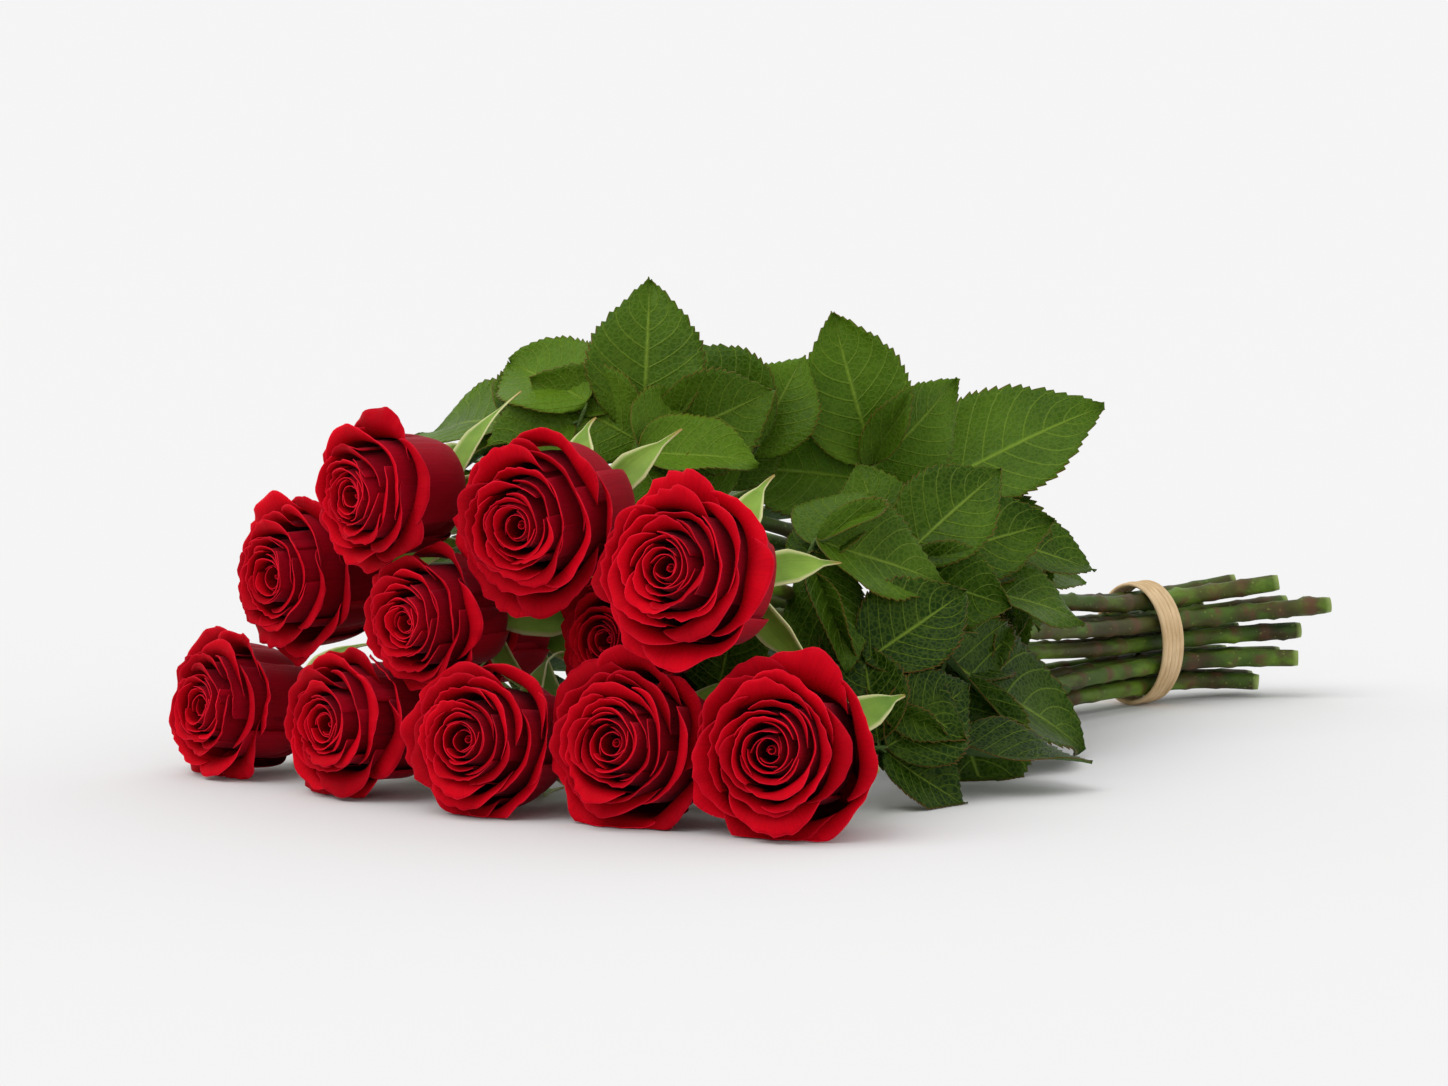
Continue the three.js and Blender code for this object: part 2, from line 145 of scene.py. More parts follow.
def finish_piece(piece, node, slot, *materials):
    """Gives the piece its materials, hides the frame's part for its node and attaches the piece to the
    root.
    """
    for material in materials:
        if material.name not in piece.data.materials:
            piece.data.materials.append(material)
    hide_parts(node)
    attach(piece, "root")


# %% [markdown]
# Materials are built once and shared. A small helper keeps the node code short: it adds a
# node, sets its values and wires its inputs in one call.

# %% A short way to wire shader nodes
class Shader:
    """A material with a Principled BSDF and a helper that adds wired nodes."""

    def __init__(self, name):
        self.material = bpy.data.materials.new(name)
        self.material.use_nodes = True
        self.tree = self.material.node_tree
        self.bsdf = self.tree.nodes["Principled BSDF"]

    def add(self, kind, links=None, values=None, **settings):
        node = self.tree.nodes.new(kind)
        for key, value in settings.items():
            setattr(node, key, value)
        for key, value in (values or {}).items():
            node.inputs[key].default_value = value
        for key, source in (links or {}).items():
            self.tree.links.new(source, node.inputs[key])
        return node

    def math(self, operation, a, b=None, clamp=False):
        node = self.add("ShaderNodeMath", operation=operation, use_clamp=clamp)
        for index, value in enumerate((a, b)):
            if value is None:
                continue
            if isinstance(value, (int, float)):
                node.inputs[index].default_value = value
            else:
                self.tree.links.new(value, node.inputs[index])
        return node.outputs[0]

    def ramp(self, factor, *stops):
        node = self.add("ShaderNodeValToRGB", {"Fac": factor})
        while len(node.color_ramp.elements) < len(stops):
            node.color_ramp.elements.new(0.5)
        for element, (position, color) in zip(node.color_ramp.elements, stops):
            element.position = position
            element.color = (*color, 1)
        return node.outputs["Color"]

    def mix(self, factor, a, b, blend="MIX"):
        node = self.add("ShaderNodeMix", data_type="RGBA", blend_type=blend)
        for socket, value in ((node.inputs[0], factor), (node.inputs[6], a), (node.inputs[7], b)):
            if isinstance(value, (int, float)):
                socket.default_value = value
            elif isinstance(value, tuple):
                socket.default_value = (*value, 1)
            else:
                self.tree.links.new(value, socket)
        return node.outputs[2]

    def noise(self, scale, detail=3, vector=None):
        node = self.add("ShaderNodeTexNoise", values={"Scale": scale, "Detail": detail})
        self.tree.links.new(vector or self.coordinates("Object"), node.inputs["Vector"])
        return node.outputs["Fac"]

    def coordinates(self, kind):
        return self.add("ShaderNodeTexCoord").outputs[kind]

    def uv(self):
        split = self.add("ShaderNodeSeparateXYZ", {"Vector": self.coordinates("UV")})
        return split.outputs["X"], split.outputs["Y"]

    def attribute(self, name):
        return self.add("ShaderNodeAttribute", attribute_name=name).outputs["Fac"]

    def bump(self, height, distance, strength=1.0):
        node = self.add(
            "ShaderNodeBump", {"Height": height}, {"Strength": strength, "Distance": distance}
        )
        self.tree.links.new(node.outputs["Normal"], self.bsdf.inputs["Normal"])

    def set(self, **sockets):
        for key, value in sockets.items():
            socket = self.bsdf.inputs[key.replace("_", " ")]
            if isinstance(value, (int, float, tuple)):
                socket.default_value = value
            else:
                self.tree.links.new(value, socket)
        return self.material


# %% [markdown]
# A rose petal is soft and matt, like velvet, and its face is a deep crimson. On the inside its colour
# carries painted light:
# painted shade makes the foot almost black-red, deep in the bloom, and a painted highlight brightens
# the thin rim, where light comes through. Fine veins run from foot to rim. Sheen gives the velvet, and
# a little subsurface light the softness.
# Each petal carries its own "tone" value, so no two have quite the same red.

# %% Petal materials, for the inner and the outer side
def petal_material(name, stops, roughness, sheen, sheen_tint, relief):
    shader = Shader(name)
    across, along = shader.uv()
    # Colour along the petal from foot to rim; on the inside this ramp carries painted shade at the foot
    # and a painted highlight on the rim
    reds = shader.ramp(along, *stops)
    tone = shader.ramp(shader.attribute("tone"), (0.0, (0.70, 0.66, 0.68)), (1.0, (1.12, 1.0, 1.0)))
    toned = shader.mix(1.0, reds, tone, "MULTIPLY")
    patches = shader.ramp(shader.noise(46, 4), (0.3, (0.78, 0.75, 0.77)), (0.7, (1.06, 1.0, 1.0)))
    patched = shader.mix(0.7, toned, patches, "MULTIPLY")
    fan = shader.add(
        "ShaderNodeCombineXYZ",
        {"X": shader.math("MULTIPLY", across, 62.0), "Y": shader.math("MULTIPLY", along, 4.0)},
    ).outputs[0]
    veins = shader.noise(1.0, 4, fan)
    vein_tone = shader.ramp(veins, (0.35, (0.72, 0.7, 0.72)), (0.6, (1.04, 1.0, 1.0)))
    lined = shader.mix(0.45, patched, vein_tone, "MULTIPLY")
    shader.bump(veins, 0.0004, relief)
    shader.bsdf.inputs["Sheen Tint"].default_value = sheen_tint
    return shader.set(
        Base_Color=lined, Roughness=roughness, Sheen_Weight=sheen, Sheen_Roughness=0.4,
        Subsurface_Weight=0.1, Subsurface_Radius=(0.003, 0.0004, 0.0004),
        Subsurface_Scale=1.0, Specular_IOR_Level=0.03,
    )


# %% [markdown]
# A rose leaflet is dark and slightly glossy on top, with a paler midrib and side veins
# that arch towards the edge, and brownish tips on its teeth. Underneath it is pale and
# matt. The veins follow the leaflet's UV map, whose middle line is the midrib. Its tone also paints
# light by height:
# leaflets low in the bunch are darker with painted shade, and high ones paler with painted light.

# %% Leaf materials
SIDE_VEINS = 8.5  # along each side of a leaflet


def leaf_material(name, dark, light, vein, roughness, relief):
    shader = Shader(name)
    across, along = shader.uv()
    off_rib = shader.math("ABSOLUTE", shader.math("SUBTRACT", across, 0.5))
    arch = shader.math("MULTIPLY", shader.math("POWER", off_rib, 1.25), 0.62)
    place = shader.math("MULTIPLY", shader.math("SUBTRACT", along, arch), SIDE_VEINS)
    phase = shader.math("FRACT", place)
    from_vein = shader.math("ABSOLUTE", shader.math("SUBTRACT", phase, 0.5))
    side_vein = shader.math("SUBTRACT", 1.0, shader.math("MULTIPLY", from_vein, 13.0), clamp=True)
    midrib = shader.math("SUBTRACT", 1.0, shader.math("MULTIPLY", off_rib, 42.0), clamp=True)
    veins = shader.math("MAXIMUM", shader.math("MULTIPLY", side_vein, 0.62), midrib)
    cells = shader.add(
        "ShaderNodeTexVoronoi", {"Vector": shader.coordinates("Object")}, {"Scale": 420.0},
        feature="DISTANCE_TO_EDGE",
    ).outputs["Distance"]
    net = shader.math("SUBTRACT", 1.0, shader.math("MULTIPLY", cells, 5.0), clamp=True)
    # Painted shade low and painted light high: each leaflet's tone is its height above the surface,
    # with a little random spread
    height_shade = shader.math("MULTIPLY", shader.attribute("tone"), 0.62)
    mottle = shader.math("ADD", shader.math("MULTIPLY", shader.noise(30, 5), 0.7), height_shade)
    tone = shader.ramp(shader.math("SUBTRACT", mottle, 0.2), (0.15, dark), (0.8, light))
    netted = shader.mix(shader.math("MULTIPLY", net, 0.12), tone, vein)
    veined = shader.mix(shader.math("MULTIPLY", veins, 0.62), netted, vein)
    at_edge = shader.math("MULTIPLY", shader.math("SUBTRACT", off_rib, 0.484), 75.0, clamp=True)
    uneven = shader.math("MULTIPLY", shader.noise(70, 2), 1.1, clamp=True)
    edge = shader.math("MULTIPLY", at_edge, uneven)
    browned = shader.mix(edge, veined, (0.15, 0.06, 0.015))
    height = shader.math("ADD", veins, shader.math("MULTIPLY", net, 0.25))
    shader.bump(height, 0.0006, relief)
    return shader.set(
        Base_Color=browned, Roughness=roughness, Specular_IOR_Level=0.07,
        Subsurface_Weight=0.03, Subsurface_Radius=(0.001, 0.003, 0.0005), Subsurface_Scale=1.0,
    )


# %% Stem, calyx and band materials
def stem_material():
    shader = Shader("stem_bark")
    stretch = shader.add(
        "ShaderNodeMapping", {"Vector": shader.coordinates("Object")}, {"Scale": (0.35, 1.0, 1.0)}
    ).outputs[0]
    green = shader.ramp(shader.noise(46, 4, stretch), (0.3, (0.018, 0.036, 0.005)),
                        (0.5, (0.060, 0.112, 0.012)), (0.7, (0.20, 0.34, 0.030)))
    blotch = shader.ramp(shader.noise(62, 7, stretch), (0.46, (0, 0, 0)), (0.56, (1, 1, 1)))
    bark = shader.mix(shader.math("MULTIPLY", blotch, 0.72), green, (0.050, 0.027, 0.012))
    dots = shader.ramp(shader.noise(420, 2), (0.66, (0, 0, 0)), (0.72, (1, 1, 1)))
    dotted = shader.mix(shader.math("MULTIPLY", dots, 0.4), bark, (0.26, 0.34, 0.07))
    torn = shader.ramp(shader.noise(150, 3), (0.38, (0, 0, 0)), (0.6, (1, 1, 1)))
    ring = shader.math("MULTIPLY", shader.attribute("scar"), torn)
    ringed = shader.mix(ring, dotted, (0.11, 0.048, 0.024))
    cut = shader.mix(shader.attribute("cut"), ringed, (0.30, 0.40, 0.11))
    grain = shader.noise(340, 4, stretch)
    shader.bump(grain, 0.0006, 0.5)
    return shader.set(Base_Color=cut, Roughness=0.5, Specular_IOR_Level=0.2)


def calyx_material():
    shader = Shader("sepal_green")
    across, along = shader.uv()
    tone = shader.ramp(shader.noise(60, 4), (0.3, (0.11, 0.22, 0.02)), (0.7, (0.24, 0.38, 0.05)))
    edge = shader.math("ABSOLUTE", shader.math("SUBTRACT", across, 0.5))
    pale = shader.math("MULTIPLY", shader.math("SUBTRACT", edge, 0.38), 9.0, clamp=True)
    edged = shader.mix(pale, tone, (0.62, 0.62, 0.3))
    tip = shader.math("MULTIPLY", shader.math("SUBTRACT", along, 0.82), 4.0, clamp=True)
    tipped = shader.mix(tip, edged, (0.45, 0.2, 0.04))
    stripes = shader.add(
        "ShaderNodeCombineXYZ", {"X": shader.math("MULTIPLY", across, 16.0)}
    ).outputs[0]
    ribs = shader.noise(1.0, 2, stripes)
    shader.bump(ribs, 0.0005, 0.5)
    return shader.set(
        Base_Color=tipped, Roughness=0.5, Specular_IOR_Level=0.2, Subsurface_Weight=0.08,
        Subsurface_Radius=(0.001, 0.003, 0.0005), Subsurface_Scale=1.0,
    )


def band_material():
    shader = Shader("band_rubber")
    tone = shader.ramp(shader.noise(60, 4), (0.3, (0.56, 0.38, 0.19)), (0.7, (0.80, 0.60, 0.36)))
    threads = shader.add(
        "ShaderNodeMapping", {"Vector": shader.coordinates("Object")}, {"Scale": (6.0, 0.5, 0.5)}
    ).outputs[0]
    fine = shader.noise(330, 3, threads)
    thread_tone = shader.ramp(fine, (0.3, (0.6, 0.5, 0.4)), (0.6, (1, 1, 1)))
    lined = shader.mix(0.4, tone, thread_tone, "MULTIPLY")
    shader.bump(fine, 0.0004, 0.5)
    return shader.set(Base_Color=lined, Roughness=0.6, Specular_IOR_Level=0.2)


# The inside ramp is painted light: painted shade, almost black, at the foot deep in the bloom, and a
# painted highlight on the rim's last sliver
PETAL = petal_material(
    "petal_inside",
    ((0.0, (0.05, 0.0, 0.001)), (0.45, (0.17, 0.0003, 0.003)), (0.7, (0.38, 0.0008, 0.007)),
     (0.93, (0.55, 0.001, 0.010)), (0.985, (0.62, 0.002, 0.014)), (1.0, (0.80, 0.012, 0.035))),
    0.6, 0.05, (1.0, 0.05, 0.08, 1), 0.35,
)
PETAL_BACK = petal_material(
    "petal_outside",
    ((0.0, (0.24, 0.05, 0.02)), (0.22, (0.30, 0.003, 0.010)), (0.75, (0.42, 0.003, 0.018)),
     (1.0, (0.58, 0.004, 0.024))),
    0.52, 0.12, (1.0, 0.25, 0.35, 1), 0.5,
)
LEAF_TOP = leaf_material("leaf_top", (0.007, 0.026, 0.0005), (0.082, 0.165, 0.007),
                         (0.24, 0.36, 0.04), 0.34, 0.9)
LEAF_UNDER = leaf_material("leaf_under", (0.06, 0.115, 0.028), (0.13, 0.21, 0.055),
                           (0.24, 0.32, 0.11), 0.6, 0.9)
STEM = stem_material()
CALYX = calyx_material()
BAND = band_material()
print("materials", len(bpy.data.materials))

# %% [markdown]
# The roses keep the layout of the frame: the middle of each bloom, its full width, the way
# it faces, and the slot that its stem takes in the band. Lengths are in millimetres.

# %% The dozen roses
GAP = 0.3
STEM_END, STEM_BAND, STEM_NECK = 8.8, 8.2, 5.6
CUP_SHARE, BLOOM_DEPTH, FACE_DEPTH = 0.445, 0.82, 0.93
HIP_DIAMETER, HIP_LENGTH = 11.0, 12.0
SLOT_ROWS = (2, 3, 2, 3, 2)
SLOT_ACROSS, SLOT_UP = STEM_BAND + 2.8, STEM_BAND + 2.0
HANDLE_NECK, HANDLE_BAND, HANDLE_TAIL = 110, 150, 45
TAIL_SWING, TAIL_RISE = -0.37, 0.03
TAIL_FAN_ACROSS, TAIL_FAN_UP = 0.011, 0.003
BAND_THICKNESS = 2.4
BAND_MIDDLE = (band_low.z + band_high.z) / 2 / MM

# middle of the bloom (the lowest take their height from the surface), full width, heading and tilt in
# degrees, row and place in the band, and length past the band
ROSES = (
    ((-462, 149), 66, -4, 7, (1, 2), 66),
    ((-464, 69.5), 66, 1, 5, (0, 1), 72),
    ((-461, -7.5), 66, 13, 8, (1, 1), 78),
    ((-442, -69), 71, 14, 8, (0, 0), 58),
    ((-424, -133), 74, 23, 8, (1, 0), 70),
    ((-449, 119, 86), 69, -3, 1, (3, 2), 52),
    ((-453, 34, 73.5), 61, 3, 0, (3, 1), 82),
    ((-435, -91, 102), 73, 15, 10, (3, 0), 86),
    ((-460, 57, 123), 65, -3, 0, (4, 1), 62),
    ((-445, -21, 114), 73, 12, -3, (4, 0), 68),
    ((-405, -30, 67), 60, 5, 2, (2, 0), 80),
    ((-385, 76, 60), 56, -5, 2, (2, 1), 64),
)


def bezier(points, t):
    """A point on a Bezier curve of any order."""
    points = list(points)
    while len(points) > 1:
        points = [a.lerp(b, t) for a, b in zip(points, points[1:])]
    return points[0]


class Rose:
    """One rose's axis, sizes and stem path, all in layout millimetres."""

    def __init__(self, number, face, across, heading, tilt, slot, tail):
        turn, lift = math.radians(heading), math.radians(tilt)
        self.number = number
        self.across = across
        self.depth = BLOOM_DEPTH * across
        self.cup = CUP_SHARE * across
        self.axis = Vector((
            -math.cos(turn) * math.cos(lift), -math.sin(turn) * math.cos(lift), math.sin(lift)
        ))
        lowest = self.cup * math.cos(lift) + 0.3 * self.depth * math.sin(lift)
        self.middle = Vector((face[0], face[1], face[2] if len(face) == 3 else lowest))
        self.base = self.middle - self.axis * FACE_DEPTH * self.depth
        self.heart = self.base + self.axis * 0.66 * self.depth
        neck = self.base - self.axis * (HIP_LENGTH + 2 * GAP)
        row, place = slot
        across_slot = (place - (SLOT_ROWS[row] - 1) / 2) * SLOT_ACROSS
        up_slot = (row - (len(SLOT_ROWS) - 1) / 2) * SLOT_UP
        in_band = Vector((0, across_slot, BAND_MIDDLE + up_slot))
        ahead = Vector((1, 0, 0))
        slope = Vector((
            1, TAIL_SWING + TAIL_FAN_ACROSS * across_slot, TAIL_RISE + TAIL_FAN_UP * up_slot
        ))
        self.main = (neck, neck - self.axis * HANDLE_NECK, in_band - ahead * HANDLE_BAND, in_band)
        self.tail = (in_band, in_band + ahead * HANDLE_TAIL, in_band + slope * tail)
        self.main_table = self.table(self.main)
        self.tail_table = self.table(self.tail)
        self.main_length = self.main_table[-1]
        self.length = self.main_length + self.tail_table[-1]

    @staticmethod
    def table(points, steps=200):
        """Running lengths along a curve."""
        lengths = [0.0]
        last = bezier(points, 0)
        for i in range(1, steps + 1):
            here = bezier(points, i / steps)
            lengths.append(lengths[-1] + (here - last).length)
            last = here
        return lengths

    @staticmethod
    def at_length(points, table, distance):
        """The point a distance along a curve, read off its running lengths."""
        for i in range(1, len(table)):
            if table[i] >= distance:
                part = (distance - table[i - 1]) / max(table[i] - table[i - 1], 1e-9)
                return bezier(points, (i - 1 + part) / (len(table) - 1))
        return bezier(points, 1)

    def stem_point(self, distance):
        if distance <= self.main_length:
            return self.at_length(self.main, self.main_table, distance)
        return self.at_length(self.tail, self.tail_table, distance - self.main_length)

    def stem_radius(self, distance):
        if distance <= self.main_length:
            share = distance / self.main_length
            return (STEM_NECK + (STEM_BAND - STEM_NECK) * share) / 2
        share = (distance - self.main_length) / (self.length - self.main_length)
        return (STEM_BAND + (STEM_END - STEM_BAND) * share) / 2


roses = [Rose(i + 1, *spec) for i, spec in enumerate(ROSES)]
print("stems", [round(rose.length) for rose in roses], "mm")

# %% [markdown]
# The camera stands low and looks along the blooms, three quarters from the front, with a
# long lens. The floor is a wide sheet of paper, as bright as the sky behind it, so that no
# horizon shows. The light is broad and soft.

# %% Camera
camera = bpy.data.objects.new("camera", bpy.data.cameras.new("camera"))
scene.collection.objects.link(camera)
scene.camera = camera
camera.location = place_mm(-1430, -1017, 228)
camera.rotation_euler = (math.radians(85.09), 0, math.radians(-48))
camera.data.lens = 90
camera.data.sensor_width = 36
camera.data.clip_end = 60

# %% Floor and light
SKY = 0.915  # even light from all sides
SUN = 0.30  # what the broad lamp adds on the floor
REACH = 12.0  # half the floor's side, in metres


def floor_rule(u, v):
    return Vector((ORIGIN.x + u * REACH, ORIGIN.y + (2 * v - 1) * REACH, -0.1 * MM))


floor = shaped_grid("floor", 8, 8, floor_rule)
paper = Shader("floor_paper")
shade = SKY / (SKY + SUN)
floor.data.materials.append(paper.set(Base_Color=(shade, shade, shade, 1), Roughness=1.0,
                                      Specular_IOR_Level=0.0))

world = bpy.data.worlds.new("studio")
scene.world = world
world.use_nodes = True
background = world.node_tree.nodes["Background"]
background.inputs["Color"].default_value = (1, 1, 1, 1)
background.inputs["Strength"].default_value = SKY
lamp = bpy.data.objects.new("softbox", bpy.data.lights.new("softbox", "SUN"))
scene.collection.objects.link(lamp)
towards_lamp = Vector((-0.62, 0.18, 0.9)).normalized()
lamp.rotation_euler = towards_lamp.to_track_quat("Z", "Y").to_euler()
lamp.data.energy = SUN * math.pi / towards_lamp.z
lamp.data.angle = math.radians(50)
print("sky", SKY, "lamp", round(lamp.data.energy, 3), "floor", round(shade, 3))

# %% [markdown]
# A bloom is some thirty petals on one small base, in rings that open from the heart
# outwards. Each petal is one curved sheet: a bowl that rises from the base, then a rim that
# rolls outwards, a little in the inner rings and right over in the outer ones. Its rim is
# broad and round, and dips towards both sides, which gives the notches between petals.
# One edge of each petal lies further in than the other, so that a ring nests in a spiral.

# %% The rings of petals
def between(t, *stops):
    """Reads a value off a list of (place, value) stops."""
    for (a, x), (b, y) in zip(stops, stops[1:]):
        if t <= b:
            share = min(max((t - a) / (b - a), 0), 1)
            return x + (y - x) * share
    return stops[-1][1]


# petals, rim radius and rim height as shares of the bloom's, half width, roll, roll radius
RINGS = (
    (3, 0.16, 0.95, 96, 34, 0.070),
    (3, 0.27, 0.985, 86, 54, 0.095),
    (4, 0.39, 1.0, 72, 68, 0.120),
    (5, 0.53, 0.98, 58, 78, 0.140),
    (5, 0.68, 0.93, 53, 88, 0.155),
    (5, 0.85, 0.85, 51, 99, 0.180),
    (6, 1.03, 0.73, 44, 112, 0.215),
)
PETALS = 1 + sum(ring[0] for ring in RINGS)
BODY = 0.62  # share of a petal's length below its rolled rim
OPEN = 1.04  # the loose rims open this much wider than the bloom's own width
PETAL_WALL = 0.32
HEART_TURNS = 1.35


def cubic(a, b, c, d, t):
    """One value of a cubic Bezier curve."""
    s = 1 - t
    return a * s ** 3 + 3 * b * s * s * t + 3 * c * s * t * t + d * t ** 3


def heart_rule(rose):
    """The innermost petal: one sheet rolled into a bud."""
    radius, depth = rose.across / 2, rose.depth

    def rule(u, v):
        turn = (u + 1) / 2
        out = radius * (0.025 + 0.085 * turn) * (1 - 0.45 * v * v)
        angle = 2 * math.pi * HEART_TURNS * turn
        up = depth * (0.35 + (0.53 - 0.05 * turn) * v)
        return Vector((out * math.cos(angle), out * math.sin(angle), up))

    return rule


def petal_rule(rose, ring, place, start, rng):
    """The rule that carries a flat grid to one petal of a ring."""
    radius, depth = rose.across * OPEN / 2, rose.depth
    count, rim, height, half_width, roll, bend = RINGS[ring]
    t = ring / (len(RINGS) - 1)
    centre = start + 2 * math.pi * place / count + rng.uniform(-0.16, 0.16)
    half = math.radians(half_width) * rng.uniform(0.94, 1.1)
    reach = radius * rim * rng.uniform(0.945, 1.02)
    top = depth * height * rng.uniform(0.965, 1.015)
    arc = radius * bend * rng.uniform(0.8, 1.2)
    rolled = math.radians(roll * rng.uniform(0.8, 1.15))
    droop = between(t, (0, 0.16), (0.5, 0.26), (1, 0.30)) * rng.uniform(0.85, 1.15)
    ahead = math.radians(between(t, (0, 100), (0.5, 94), (1, 86)))
    wave = [rng.uniform(0, PHASE) for _ in range(4)]
    ruffle = rng.uniform(0.5, 1.3)
    nest = between(t, (0, 0.17), (0.4, 0.085), (1, 0.04))
    flat = rng.uniform(0.08, 0.34) * between(t, (0, 0.8), (0.4, 1), (1, 0.25))
    fold = rng.choice((0.0, 0.0, 0.5, 1.0)) * between(t, (0, 0.1), (1, 1))
    belly = radius * between(t, (0, 0.14), (0.35, 0.42), (0.7, 0.66), (1, 0.80))
    low = depth * between(t, (0, 0.3), (0.5, 0.14), (1, 0.03))

    def rule(u, v):
        side = abs(u)
        wide = 0.42 + 0.58 * math.sin(math.pi / 2 * min(v / 0.55, 1))
        v *= 1 - droop * side ** 2.8
        curl = rolled * (0.88 + 0.2 * side ** 2 + 0.16 * math.sin(2.7 * u + wave[0]))
        lip = arc * (1 + 0.18 * math.sin(3.3 * u + wave[1]))
        neck_out = reach - lip * (1 - math.cos(min(rolled, math.pi)))
        neck_up = top - lip
        if v <= BODY:
            s = v / BODY
            handle = 0.38 * depth
            out = cubic(radius * 0.1, belly, neck_out - handle * math.cos(ahead), neck_out, s)
            up = cubic(depth * 0.03, low, neck_up - handle * math.sin(ahead), neck_up, s)
        else:
            s = (v - BODY) / (1 - BODY)
            now = ahead - curl * s
            out = neck_out + lip * (math.sin(ahead) - math.sin(now))
            up = neck_up + lip * (math.cos(now) - math.cos(ahead))
        out *= 1 + nest * u
        out *= 1 - flat * (1 - math.cos(0.8 * half) / math.cos(0.8 * half * u)) * v
        soft = v ** 3
        out += radius * (0.010 + 0.022 * t) * ruffle * math.sin(2.9 * u + wave[2]) * soft
        out += radius * 0.012 * t * ruffle * math.sin(7.3 * u + wave[3]) * soft * v
        frill = t * ruffle * math.sin(17 * u + wave[0] + 2 * math.sin(4 * u + wave[3])) * v ** 10
        out += radius * 0.016 * frill
        up += depth * 0.015 * frill
        up += depth * (0.008 + 0.016 * t) * ruffle * math.sin(4.6 * u + wave[1]) * soft
        crease = fold * math.exp(-(u / 0.12) ** 2) * v ** 8
        out += radius * 0.022 * crease
        angle = centre + u * half * wide
        return Vector((out * math.cos(angle), out * math.sin(angle), up))

    return rule


# %% Petals give way to the floor and to the next bloom
NEAR = 90  # blooms with hearts closer than this may touch
YIELD = 0.92  # how much of the excess a pressed petal gives way


def neighbours(rose):
    """For each bloom that stands close: the way to it and how far this bloom may reach."""
    found = []
    for other in roses:
        apart = other.heart - rose.heart
        if other is not rose and apart.length < NEAR:
            limit = apart.length * rose.across / (rose.across + other.across) - 0.5
            found.append((apart.normalized(), limit))
    return found


def pressed(point, rose, close):
    """Moves a petal point back where another bloom or the floor is in its way."""
    for way, limit in close:
        excess = (point - rose.heart).dot(way) - limit
        if excess > 0:
            point = point - way * excess * YIELD
    point.z = above_floor(point.z)
    return point


# %% Build the blooms
INNER_PETALS = 7  # these stay bright


def put_values(piece, name, values):
    """Gives every vertex of the piece its own value under a name that a material reads."""
    layer = piece.data.attributes.new(name, "FLOAT", "POINT")
    layer.data.foreach_set("value", values)


def bloom(rose):
    """All the petals of one bloom, as one piece."""
    rng = random.Random(100 + rose.number)
    turn = Vector((0, 0, 1)).rotation_difference(rose.axis)
    close = neighbours(rose)
    start = rng.uniform(0, PHASE)
    shapes = [(heart_rule(rose), 40, 10)]
    for ring, spec in enumerate(RINGS):
        start += math.pi / spec[0] + rng.uniform(-0.25, 0.25)
        fine = (16, 18) if ring < 3 else (24, 22)
        for place in range(spec[0]):
            shapes.append((petal_rule(rose, ring, place, start, rng), *fine))
    petals = []
    for shape, across, along in shapes:
        petal = shaped_grid(
            "petal", across, along,
            lambda u, v: place_mm(*pressed(rose.base + turn @ shape(u, v), rose, close)),
        )
        tone = rng.uniform(0.6, 1) if len(petals) < INNER_PETALS else rng.uniform(0, 1)
        put_values(petal, "tone", [tone] * len(petal.data.vertices))
        petals.append(petal)
    piece = joined("petals_%02d" % rose.number, petals)
    piece.data.materials.append(PETAL_BACK)
    piece.data.materials.append(PETAL)
    wall = thickened(piece, PETAL_WALL, 0)
    wall.material_offset = 1
    wall.material_offset_rim = 1
    apply_all(piece)
    finish_piece(piece, "bloom_%02d" % rose.number, "petals")
    return piece


for rose in roses:
    piece = bloom(rose)
print("petals on a bloom", PETALS, "faces", len(piece.data.polygons))

# %% [markdown]
# Under each bloom sits the hip, a small green urn, and five sepals fold back from it.
# The hip is a tube that closes at both ends. A sepal is a long tapering sheet.

# %% Hip and sepals
SEPALS = 5
SEPAL_WIDTH = 14.4
SEPAL_WALL = 0.7


